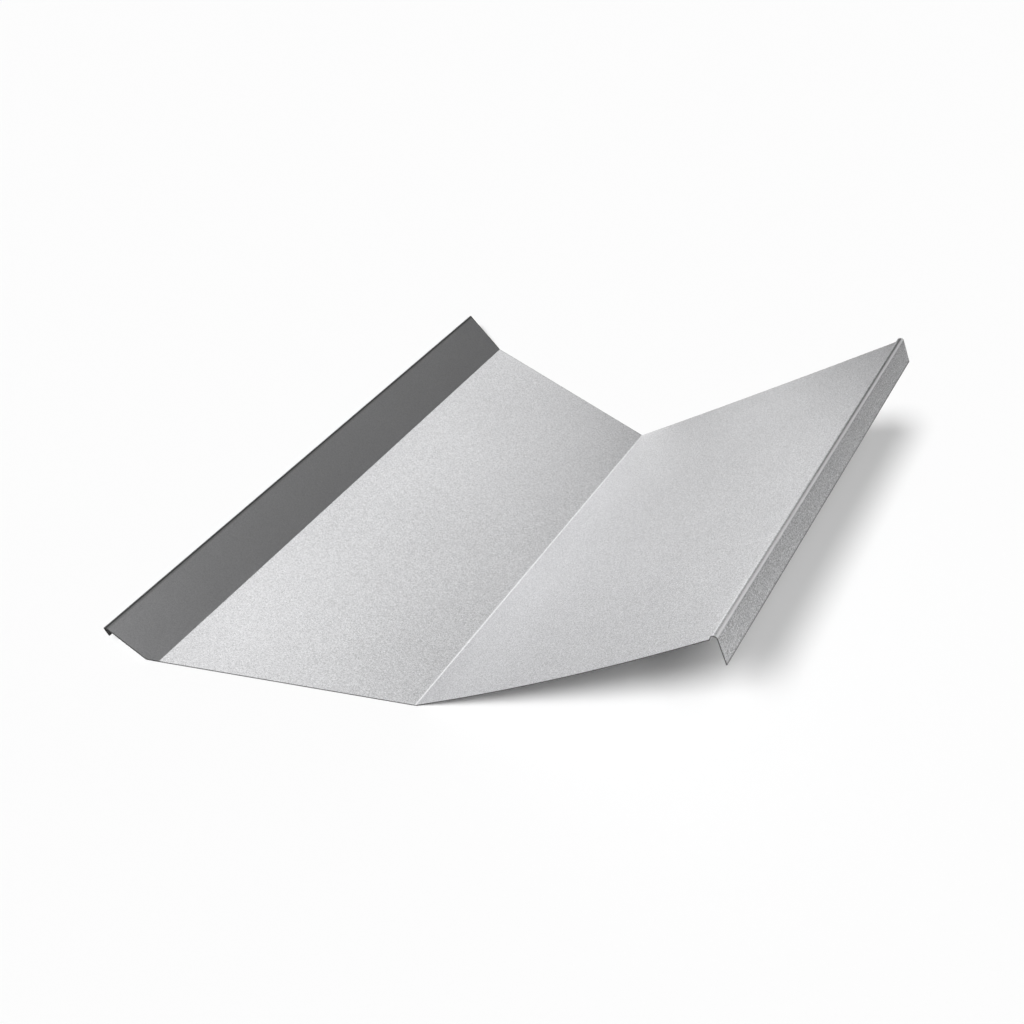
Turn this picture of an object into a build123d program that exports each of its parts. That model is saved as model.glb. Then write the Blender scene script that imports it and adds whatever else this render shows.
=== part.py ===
import os
from math import cos, radians, sin, tan

from build123d import *

# Valley tray: one folded galvanised sheet, lying on its left panel.
# Lengths are in mm and angles in degrees.
# Widths run along the underside of the sheet, between the sharp corners that the folds round off.
valley_length = 460.0
sheet_thickness = 0.7
bend_radius = 1.2
valley_radius = 3.0

left_panel = 216.0
flange_width = 56.0
flange_angle = 29.5
hem_width = 11.5
hem_angle = 27.0
hem_radius = 1.0

right_panel = 307.0
right_angle = 39.6
front_sag = 4.7
back_sag = 0.2
sag_share = 0.9
panel_margin = 10.0
ease_radius = 100.0

bead_height = 2.8
bead_angle = 45.0
bead_width = 3.8
bead_radius = 1.8
lip_width = 23.4
lip_angle = 103.0

panel_end_angle = 18.0
flange_flare = 10.5
toe_width = 9.0
toe_reach = 6.5
trim_margin = 20.0


def along(start, reach, angle):
    return start[0] + reach * cos(radians(angle)), start[1] + reach * sin(radians(angle))


# Corners of the underside in the section, x across the valley and y up, from the hem's edge to the lip's edge.
valley = (0.0, 0.0)
flange_foot = along(valley, left_panel, 180.0)
flange_top = along(flange_foot, flange_width, 180.0 - flange_angle)
hem_edge = along(flange_top, hem_width, -flange_angle - hem_angle)
sag_start = along(valley, panel_margin, right_angle)
sag_span = right_panel - 2 * panel_margin
sag_middle = along(sag_start, sag_span / 2, right_angle)
sag_stop = along(sag_start, sag_span, right_angle)
bead_foot = along(valley, right_panel, right_angle)
bead_shoulder = along(bead_foot, bead_height / sin(radians(bead_angle)), right_angle + bead_angle)
bead_brow = along(bead_shoulder, bead_width, right_angle + (bead_angle - lip_angle) / 2)
lip_edge = along(bead_brow, lip_width, right_angle - lip_angle)

# A fold that closes upwards has its inner radius on the upper face, one that closes downwards on the underside.
upward_fold = bend_radius + sheet_thickness
valley_fold = valley_radius + sheet_thickness

# The ends in plan: square across the right wing, slanted outwards across the left panel, less so across the flange.
half_length = valley_length / 2
panel_end = half_length + left_panel * tan(radians(panel_end_angle))
flange_end = panel_end + flange_flare
toe = along(flange_foot, toe_width, 180.0 - flange_angle)
right_reach = lip_edge[0] + trim_margin

with BuildPart() as folded_sheet:
    # The folded section at the two ends of the sheet, ruled straight between them.
    # Between its straight margins the right panel sags in an arc below the line from valley to bead.
    for section_place, sag in ((flange_end, front_sag), (-flange_end, back_sag)):
        corner_depth = sag / (1 - sag_share / 2)
        sag_corner = along(sag_middle, corner_depth, right_angle - 90.0)
        sag_radius = sag_share * sag_span ** 2 / (4 * corner_depth)
        corners = [
            hem_edge, flange_top, flange_foot, valley,
            sag_start, sag_corner, sag_stop,
            bead_foot, bead_shoulder, bead_brow, lip_edge,
        ]
        radii = [
            hem_radius, upward_fold, valley_fold,
            ease_radius, sag_radius, ease_radius,
            upward_fold, bead_radius, bead_radius,
        ]
        with BuildSketch(Plane.XZ.offset(section_place)):
            with BuildLine():
                underside = FilletPolyline(*corners, radius=radii)
                offset(underside, amount=sheet_thickness, side=Side.LEFT)
            make_face()
    loft(ruled=True)

    # The end cuts. The flange's front corner keeps a small toe that reaches past the panel's corner.
    with BuildSketch(Plane.XY.offset(-trim_margin)):
        with BuildLine():
            Polyline(
                (right_reach, -half_length),
                (right_reach, half_length),
                (valley[0], half_length),
                (flange_foot[0], panel_end),
                (flange_top[0], flange_end),
                (flange_top[0], -flange_end),
                (toe[0], -panel_end - toe_reach),
                (flange_foot[0], -panel_end),
                (valley[0], -half_length),
                close=True,
            )
        make_face()
    extrude(amount=bead_brow[1] + 2 * trim_margin, mode=Mode.INTERSECT)

# The origin goes on the floor under the middle of the tray's plan outline.
extent = folded_sheet.part.bounding_box()
valley_tray = folded_sheet.part.moved(Location((-extent.center().X, -extent.center().Y, -extent.min.Z)))
valley_tray.label = "valley_tray"

os.makedirs("parts", exist_ok=True)
export_step(valley_tray, "parts/valley_tray.step")
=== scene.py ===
from math import atan2, cos, radians, sin, tan

import bpy
import numpy as np
from mathutils import Matrix, Vector


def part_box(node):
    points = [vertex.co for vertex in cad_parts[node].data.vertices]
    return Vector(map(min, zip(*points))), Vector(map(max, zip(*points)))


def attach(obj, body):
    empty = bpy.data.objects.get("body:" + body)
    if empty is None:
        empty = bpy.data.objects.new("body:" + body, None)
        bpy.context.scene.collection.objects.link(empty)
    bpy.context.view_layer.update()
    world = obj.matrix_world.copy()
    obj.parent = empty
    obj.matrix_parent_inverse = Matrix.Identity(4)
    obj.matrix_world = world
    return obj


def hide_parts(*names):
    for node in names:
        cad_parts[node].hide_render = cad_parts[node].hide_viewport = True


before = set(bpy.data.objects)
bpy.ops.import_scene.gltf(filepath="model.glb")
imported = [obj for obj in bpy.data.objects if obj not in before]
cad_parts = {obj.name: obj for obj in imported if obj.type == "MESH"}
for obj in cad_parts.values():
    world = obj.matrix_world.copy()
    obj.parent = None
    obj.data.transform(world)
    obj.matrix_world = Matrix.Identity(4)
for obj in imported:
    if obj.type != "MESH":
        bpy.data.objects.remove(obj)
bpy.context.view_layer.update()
print("frame loaded, nodes:", sorted(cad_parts))


class Wire:
    # One output socket of a node tree; arithmetic on it adds Math nodes
    def __init__(self, tree, socket=None):
        self.tree = tree
        self.socket = socket

    def node(self, kind, settings=None, out=0, **inputs):
        # Any node: its settings first, then its sockets' values or links.
        # A socket goes by its name, with _ for a space, or by i and its number where names repeat.
        made = self.tree.nodes.new(kind)
        for key, value in (settings or {}).items():
            setattr(made, key, value)
        for key, value in inputs.items():
            target = made.inputs[int(key[1:])] if key[1:].isdigit() else made.inputs[key.replace("_", " ")]
            if isinstance(value, Wire):
                self.tree.links.new(value.socket, target)
            else:
                target.default_value = value
        return Wire(self.tree, made.outputs[out])

    def math(self, operation, a, b=0.0):
        return self.node("ShaderNodeMath", {"operation": operation}, i0=a, i1=b)

    def blend(self, share, a, b):
        # A Mix node takes colours on its inputs 6 and 7 and gives one on its output 2
        return self.node("ShaderNodeMix", {"data_type": "RGBA"}, out=2, i0=share, i6=a, i7=b)

    def attribute(self, name):
        return self.node("ShaderNodeAttribute", {"attribute_name": name}, out="Fac")

    def __add__(self, other): return self.math("ADD", self, other)
    def __radd__(self, other): return self.math("ADD", other, self)
    def __sub__(self, other): return self.math("SUBTRACT", self, other)
    def __rsub__(self, other): return self.math("SUBTRACT", other, self)
    def __mul__(self, other): return self.math("MULTIPLY", self, other)
    def __rmul__(self, other): return self.math("MULTIPLY", other, self)


def grey(level):
    return (level, level, level, 1)


def shaderIn(tree, kind="BSDF_PRINCIPLED"):
    return next(node for node in tree.nodes if node.type == kind)


def putInScene(name, data):
    made = bpy.data.objects.new(name, data)
    bpy.context.scene.collection.objects.link(made)
    return made


# The tray

tray = dict(
    valleyLength=0.460, thickness=0.0007, bendRadius=0.0012, valleyRadius=0.003,
    leftPanel=0.216, flangeWidth=0.056, flangeAngle=29.5, hemWidth=0.0115, hemAngle=27, hemRadius=0.001,
    rightPanel=0.307, rightAngle=39.6, frontSag=0.0047, backSag=0.0002, sagShare=0.9,
    panelMargin=0.003, easeRadius=0.020,   # straight strips beside the sag, and how it eases into them
    beadHeight=0.0028, beadAngle=45, beadWidth=0.0038, beadRadius=0.0018, lipWidth=0.0234, lipAngle=103,
    panelEndAngle=18, flangeFlare=0.0105, toeWidth=0.009, toeReach=0.0065,   # the slanted ends and the front toe
    runPoints=(5, 50, 32, 4, 6, 6, 4, 3, 3, 16), arcPoints=(16, 8, 12, 3, 30, 3, 8, 10, 10),
    rim=0.0006, rows=90, sharpAngle=35,
)


def along(start, reach, angle):
    return start + reach * np.array([cos(radians(angle)), sin(radians(angle))])


def trayCorners(t, sag):
    # Corners of the underside in the section, from the hem's edge to the lip's edge, and the radius at each
    # inner one. The right panel sags by the given depth in an arc between two straight margins.
    slope = t["rightAngle"]
    valley = np.zeros(2)
    flangeFoot = along(valley, t["leftPanel"], 180)
    flangeTop = along(flangeFoot, t["flangeWidth"], 180 - t["flangeAngle"])
    hemEdge = along(flangeTop, t["hemWidth"], -t["flangeAngle"] - t["hemAngle"])
    sagStart = along(valley, t["panelMargin"], slope)
    sagSpan = t["rightPanel"] - 2 * t["panelMargin"]
    sagDepth = sag / (1 - t["sagShare"] / 2)
    sagCorner = along(along(sagStart, sagSpan / 2, slope), sagDepth, slope - 90)
    sagStop = along(sagStart, sagSpan, slope)
    beadFoot = along(valley, t["rightPanel"], slope)
    beadShoulder = along(beadFoot, t["beadHeight"] / sin(radians(t["beadAngle"])), slope + t["beadAngle"])
    beadBrow = along(beadShoulder, t["beadWidth"], slope + (t["beadAngle"] - t["lipAngle"]) / 2)
    lipEdge = along(beadBrow, t["lipWidth"], slope - t["lipAngle"])
    upward = t["bendRadius"] + t["thickness"]
    sagRadius = t["sagShare"] * sagSpan ** 2 / (4 * sagDepth)
    corners = [hemEdge, flangeTop, flangeFoot, valley, sagStart, sagCorner, sagStop,
               beadFoot, beadShoulder, beadBrow, lipEdge]
    radii = [t["hemRadius"], upward, t["valleyRadius"] + t["thickness"], t["easeRadius"], sagRadius,
             t["easeRadius"], upward, t["beadRadius"], t["beadRadius"]]
    return corners, radii


def foldedLine(corners, radii, t):
    # Straight runs joined by arcs: a corner that turns by a is cut back r*tan(a/2) on both legs,
    # and the arc between is centre + r*(cos, sin) swept through a. Returns points, left-hand normals
    # and the number of the run (0, 2, ..) or of the fold (1, 3, ..) that each point is on.
    points, normals, places = [], [], []
    start = corners[0]
    for i, count in enumerate(t["runPoints"]):
        leg = corners[i + 1] - corners[i]
        u = leg / np.linalg.norm(leg)
        left = np.array([-u[1], u[0]])
        last = i == len(radii)
        stop = corners[-1]
        if not last:
            leg = corners[i + 2] - corners[i + 1]
            w = leg / np.linalg.norm(leg)
            turn = atan2(u[0] * w[1] - u[1] * w[0], u @ w)
            stop = corners[i + 1] - u * radii[i] * tan(abs(turn) / 2)
        run = np.linalg.norm(stop - start)
        rim = min(t["rim"], run / 4)   # a close line beside each fold keeps the flat stretches flat in shading
        reach = np.concatenate([[0], np.linspace(rim, run - rim, count), [run] if last else []])[:, None]
        points.append(start + u * reach)
        normals.append(np.broadcast_to(left, (len(reach), 2)))
        places.append(np.full(len(reach), 2 * i))
        if last:
            break
        side = np.sign(turn)
        centre = stop + left * side * radii[i]
        swept = np.linspace(0, turn, t["arcPoints"][i], endpoint=False)[:, None]
        normal = left * np.cos(swept) - u * np.sin(swept)
        points.append(centre - side * radii[i] * normal)
        normals.append(normal)
        places.append(np.full(len(normal), 2 * i + 1))
        start = centre - side * radii[i] * np.array([-w[1], w[0]])
    return np.concatenate(points), np.concatenate(normals), np.concatenate(places)


def sectionLoop(t, sag):
    # The upper face from hem to lip, then back along the underside
    under, normal, place = foldedLine(*trayCorners(t, sag), t)
    upper = under + normal * t["thickness"]
    return np.concatenate([upper, under[::-1]]), np.concatenate([place, place[::-1]])


def trayGrid(t):
    # Section point i at its own front and back end y, and straight in between: y = -front + s*(front + back).
    # There the section is the front one and the back one mixed by (y + flangeEnd)/(2*flangeEnd).
    frontLoop, place = sectionLoop(t, t["frontSag"])
    loops = np.stack([frontLoop, sectionLoop(t, t["backSag"])[0]])
    half = t["valleyLength"] / 2
    panelEnd = half + t["leftPanel"] * tan(radians(t["panelEndAngle"]))
    flangeEnd = panelEnd + t["flangeFlare"]
    toeEnd = panelEnd + t["toeReach"]
    lean = cos(radians(t["flangeAngle"]))
    toe, top = (t["leftPanel"] + t[width] * lean for width in ("toeWidth", "flangeWidth"))
    front = np.interp(-loops[0, :, 0], [0, t["leftPanel"], toe, top], [half, panelEnd, toeEnd, flangeEnd])
    back = np.interp(-loops[1, :, 0], [0, t["leftPanel"], top], [half, panelEnd, flangeEnd])
    close = t["rim"] / t["valleyLength"]
    s = np.concatenate([[0], np.linspace(close, 1 - close, t["rows"] - 2), [1]])[:, None]
    y = -front + s * (front + back)
    share = ((y + flangeEnd) / (2 * flangeEnd))[:, :, None]
    flat = loops[0] * (1 - share) + loops[1] * share
    return np.stack([flat[:, :, 0], y, flat[:, :, 1]], -1), place


# The painted strips: shade on rims, the bead's top and the hem's inside, highlights on the folds, and the
# grain's strength; steps count the points across the bead's top, pairs go from the front to the back

strips = dict(
    hem=0, hemFold=1, flange=2, valleyFold=5, beadShoulder=15, beadBrow=17, lip=18,   # runs and folds by number
    hemFade=(1, 0.5, 0.2), lipFade=0.5, creaseSteps=(9, 11, 13, 15), creaseDark=(0, 0.35, 0.35, 0),
    browSteps=(14, 16, 21, 23), browPale=(0, 1, 1, 0.3), valleyPale=(0.35, 0.08), flangeGrain=0.35, lipGrain=1.6,
)


def trayStrips(place, rows, k):
    # A number for each point of the grid: how much painted shade it gets on rims, the bead's top and the hem's
    # inside, how much painted highlight on the folds, and the strength of its grain
    n = len(place) // 2
    upper = np.arange(2 * n) < n
    flangeLines = np.flatnonzero((place == k["flange"]) & upper)
    bead = (place >= k["beadShoulder"]) & (place <= k["beadBrow"]) & upper   # shoulder, flat top and brow
    step = np.arange(bead.sum())
    rim = np.zeros((rows, 2 * n), np.float32)
    rim[:, [0, n - 1, n, -1]] = 1   # painted shade on the edges of hem and lip
    rim[:, (place == k["hemFold"]) | (place == k["hem"]) & ~upper] = 1   # painted shade on the hem's fold and its inside
    rim[:, flangeLines[:len(k["hemFade"])]] = k["hemFade"]   # painted shade fading into the flange
    rim[:, n - 2] = k["lipFade"]   # painted shade fading into the lip from its edge
    # painted shade along the bead's top, between its shoulder and brow
    rim[:, bead] = np.maximum(rim[:, bead], np.interp(step, k["creaseSteps"], k["creaseDark"]))
    rim[[0, -1]] = 1   # painted shade on the two cut ends
    highlight = np.zeros((rows, 2 * n), np.float32)
    # painted highlight along the valley fold, fading from the front to the back
    highlight[:, place == k["valleyFold"]] = np.linspace(*k["valleyPale"], rows)[:, None]
    # painted highlight on the bead's brow
    highlight[:, bead] = np.interp(step, k["browSteps"], k["browPale"])
    grain = np.ones((rows, 2 * n), np.float32)
    grain[:, place == k["flange"]] = k["flangeGrain"]   # smoother than the panels
    grain[:, place == k["lip"]] = k["lipGrain"]   # and rougher
    return dict(paintedShade=rim, paintedHighlight=highlight, grainShare=grain)


def trayMesh(grid, place, t):
    # The grid's loops joined to tubes, and the two cut ends closed by pairing upper and lower points
    m, n = grid.shape[0], grid.shape[1] // 2
    j, i = np.meshgrid(np.arange(m - 1), np.arange(2 * n), indexing="ij")
    k = (i + 1) % (2 * n)
    near, far = j * 2 * n, (j + 1) * 2 * n
    walls = np.stack([near + i, near + k, far + k, far + i], -1).reshape(-1, 4)
    i = np.arange(n - 1)
    front = np.stack([i, 2 * n - 1 - i, 2 * n - 2 - i, i + 1], -1)
    back = front[:, ::-1] + (m - 1) * 2 * n
    mesh = bpy.data.meshes.new("valleyTraySheet")
    mesh.from_pydata(grid.reshape(-1, 3), [], np.concatenate([walls, front, back]).tolist())
    for name, values in trayStrips(place, m, strips).items():
        mesh.attributes.new(name, "FLOAT", "POINT").data.foreach_set("value", values.ravel())
    mesh.polygons.foreach_set("use_smooth", np.ones(len(mesh.polygons), bool))
    mesh.set_sharp_from_angle(angle=radians(t["sharpAngle"]))
    mesh.update()
    return mesh


# The sheet's colours: its zinc, a near-black grey painted as shade on rims, the bead's top and the hem's inside,
# and a near-white painted as highlight on the folds
sheet = dict(
    colour=(0.660, 0.661, 0.671), shadeColour=grey(0.10), highlightColour=(0.92, 0.92, 0.93, 1),
    roughness=0.36, foldRoughness=0.65, foldStart=0.8, cellRoughness=0.10,
    grainScale=1050, grainDetail=1.0, grainRoughness=0.5, grainTint=1.15, grainDepth=0.00016, grainBump=0.4,
    cellScale=800, cellTint=0.20, mottleScale=7, mottleDetail=2.0, mottleTint=0.12,
)


def aboutHalf(wire, reach):
    # Noise and crystals swing about a half
    return (wire - 0.5) * reach


def sheetMaterial(s):
    # Dull zinc: a fine pebbled grain, tiny pale and dark crystals, broad soft clouds, painted highlights on the
    # folds, painted shade on rims, the bead's top and the hem's inside
    material = bpy.data.materials.new("galvanisedSheet")
    material.use_nodes = True
    tree = material.node_tree
    shader = shaderIn(tree)
    shader.inputs["Metallic"].default_value = 1.0
    start = Wire(tree)
    spot = start.node("ShaderNodeTexCoord", out="Object")
    grain = start.node("ShaderNodeTexNoise", Vector=spot, Scale=s["grainScale"], Detail=s["grainDetail"],
                       Roughness=s["grainRoughness"])
    crystals = start.node("ShaderNodeTexVoronoi", out="Color", Vector=spot, Scale=s["cellScale"])
    cell = start.node("ShaderNodeSeparateColor", Color=crystals)
    mottle = start.node("ShaderNodeTexNoise", Vector=spot, Scale=s["mottleScale"], Detail=s["mottleDetail"])
    # the grid's painted shade, painted highlight and grain strength
    rim, highlight, share = (start.attribute(name) for name in ("paintedShade", "paintedHighlight", "grainShare"))
    speckle = aboutHalf(cell, s["cellTint"]) + aboutHalf(grain, s["grainTint"])
    value = 1.0 + aboutHalf(mottle, s["mottleTint"]) + share * speckle
    tone = start.node("ShaderNodeCombineXYZ", X=value, Y=value, Z=value)
    tinted = start.node("ShaderNodeVectorMath", {"operation": "MULTIPLY"}, i0=s["colour"], i1=tone)
    # painted highlight laid over the zinc, then painted shade over both
    highlighted = start.blend(highlight, tinted, s["highlightColour"])
    shaded = start.blend(rim, highlighted, s["shadeColour"])
    frayGain = (s["foldRoughness"] - s["roughness"]) / (1 - s["foldStart"])   # only the palest folds are rougher
    frayed = start.math("MAXIMUM", highlight - s["foldStart"], 0.0) * frayGain
    rough = s["roughness"] + aboutHalf(cell, s["cellRoughness"]) * share + frayed
    bump = start.node("ShaderNodeBump", Height=grain * share, Distance=s["grainDepth"], Strength=s["grainBump"])
    for name, wire in (("Base Color", shaded), ("Roughness", rough), ("Normal", bump)):
        tree.links.new(wire.socket, shader.inputs[name])
    return material


grid, place = trayGrid(tray)
low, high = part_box("valley_tray")
gridMiddle = (grid.min((0, 1)) + grid.max((0, 1))) / 2
fold = Vector((low + high) / 2) - Vector(gridMiddle)   # the valley's middle, on the floor
fold.z = 0
body = putInScene("valleyTray", trayMesh(grid + np.array(fold), place, tray))
body.data.materials.append(sheetMaterial(sheet))
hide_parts("valley_tray")
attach(body, "root")
print("tray made, fold at", [round(c, 6) for c in fold], "faces", len(body.data.polygons))


# The studio: a pale floor, a white surround, two soft suns from the front, and cards and a bright pane that
# only reflections see

studio = dict(
    floorSize=14.0, floorDrop=0.0002, floorGrey=0.95, floorShade=0.35, clothRoughness=0.95,
    domeGlow=0.06, cardGrey=0.155, groundGrey=0.45, windowGlow=1.8,
    softKey=dict(shine=(0, 0.966, -1), strength=2.27, angle=10),
    softFill=dict(shine=(-0.282, 0.578, -0.766), strength=1.85, angle=16),
    backCard=((-0.72, 1.50, 0), (-0.72, 1.50, 0.42), (-0.31, 1.25, 0.65), (-0.31, 1.25, 1.70),
              (-1.03, 1.50, 1.88), (-1.03, 1.50, 3.2), (0.70, 1.12, 3.2), (0.70, 1.12, 0)),
    sideCard=((0.70, 1.12, 0.70), (0.70, 1.12, 3.2), (0.74, 0.05, 3.2), (0.74, 0.05, 0.70)),
    footCard=((0.70, 1.12, 0), (0.70, 1.12, 0.31), (0.74, 0.05, 0.29), (0.74, 0.05, 0)),
    groundCard=((-2.6, -0.5, 0), (-0.33, -0.5, 0), (-0.33, 0.34, 0), (0.12, 0.34, 0), (0.12, 1.3, 0),
                (-0.72, 1.5, 0), (-2.6, 2.4, 0)),
    windowPane=((-1.35, 0.94, 0.25), (-0.91, 1.34, 0.25), (-0.91, 1.34, 0.75), (-1.24, 1.04, 0.75),
                (-1.24, 1.04, 1.9), (-1.39, 0.90, 1.9), (-1.39, 0.90, 0.75), (-1.35, 0.94, 0.75)),
)


def flatSheet(name, corners, material):
    # One face through the corners in their order
    mesh = bpy.data.meshes.new(name)
    mesh.from_pydata(corners.tolist(), [], [tuple(range(len(corners)))])
    mesh.materials.append(material)
    made = putInScene(name, mesh)
    return made


def dullMaterial(name, level, glow=0.0):
    material = bpy.data.materials.new(name)
    material.use_nodes = True
    shader = shaderIn(material.node_tree)
    shader.inputs["Base Color"].default_value = grey(level)
    shader.inputs["Roughness"].default_value = studio["clothRoughness"]
    shader.inputs["Specular IOR Level"].default_value = 0.0
    shader.inputs["Emission Color"].default_value = grey(1)
    shader.inputs["Emission Strength"].default_value = glow
    return material


paleFloor = dullMaterial("paleFloor", studio["floorGrey"])
floorTree = paleFloor.node_tree
start = Wire(floorTree)
bounced = start.math("MINIMUM", start.node("ShaderNodeLightPath", out="Diffuse Depth"), 1.0)
shade = start.blend(bounced, grey(studio["floorGrey"]), grey(studio["floorShade"]))
# Duller for light that has met the floor before, so that deep shadows stay deep
floorTree.links.new(shade.socket, shaderIn(floorTree).inputs["Base Color"])
square = np.array([[-1, -1], [1, -1], [1, 1], [-1, 1]]) * studio["floorSize"] / 2
flatSheet("studioFloor", np.column_stack([square, np.full(4, -studio["floorDrop"])]), paleFloor)

shadeCloth = dullMaterial("shadeCloth", studio["cardGrey"])
paleCloth = dullMaterial("paleCloth", studio["groundGrey"])
brightPane = dullMaterial("brightPane", 0, studio["windowGlow"])
cards = dict(backCard=shadeCloth, sideCard=shadeCloth, footCard=shadeCloth, groundCard=paleCloth,
             windowPane=brightPane)
for name, material in cards.items():
    card = flatSheet(name, np.array(studio[name]), material)
    card.visible_camera = card.visible_diffuse = card.visible_shadow = False

world = bpy.data.worlds.new("whiteSurround")
bpy.context.scene.world = world
world.use_nodes = True
start = Wire(world.node_tree)
rays = world.node_tree.nodes.new("ShaderNodeLightPath").outputs
cameraRay, glossyRay, clearRay, bounced = (Wire(world.node_tree, rays[name]) for name in (
    "Is Camera Ray", "Is Glossy Ray", "Is Transmission Ray", "Diffuse Depth"))
direct = start.math("LESS_THAN", bounced, 0.5)   # not by way of the floor
seen = start.math("MINIMUM", cameraRay + glossyRay + clearRay, 1.0) * direct
strength = seen + (1 - seen) * studio["domeGlow"]   # white where it is seen, and a faint glow for the rest
surround = shaderIn(world.node_tree, "BACKGROUND")
surround.inputs["Color"].default_value = grey(1)
world.node_tree.links.new(strength.socket, surround.inputs["Strength"])

for name in ("softKey", "softFill"):
    lamp = putInScene(name, bpy.data.lights.new(name, "SUN"))
    lamp.data.energy = studio[name]["strength"]
    lamp.data.angle = radians(studio[name]["angle"])
    lamp.rotation_euler = Vector(studio[name]["shine"]).to_track_quat("-Z", "Y").to_euler()
    lamp.visible_glossy = False
print("studio lit")


# The camera, at the photograph's viewing angle; its place is measured from the valley's middle

shot = dict(
    place=(0.4078393, -0.8754211, 0.8202881), yaw=-26.8975, pitch=38.6188, roll=-3.0349,
    focalPixels=1320.249, framePixels=1024, sensorWidth=36, clipStart=0.01,
)


def cameraMatrix(c, fold):
    # forward from yaw and pitch, then the picture's axes turned by the roll
    yaw, pitch, roll = (radians(c[k]) for k in ("yaw", "pitch", "roll"))
    forward = Vector((cos(pitch) * sin(yaw), cos(pitch) * cos(yaw), -sin(pitch)))
    right = Vector((cos(yaw), -sin(yaw), 0))
    down = forward.cross(right)
    across = right * cos(roll) + down * sin(roll)
    upward = right * sin(roll) - down * cos(roll)
    turned = Matrix((across, upward, -forward)).transposed().to_4x4()
    return Matrix.Translation(Vector(c["place"]) + fold) @ turned


camera = putInScene("shotCamera", bpy.data.cameras.new("shotCamera"))
camera.data.sensor_width = shot["sensorWidth"]
camera.data.lens = shot["sensorWidth"] * shot["focalPixels"] / shot["framePixels"]
camera.data.clip_start = shot["clipStart"]
camera.matrix_world = cameraMatrix(shot, fold)
bpy.context.scene.camera = camera
bpy.context.scene.view_settings.view_transform = "Standard"
print("camera placed, lens", round(camera.data.lens, 2))
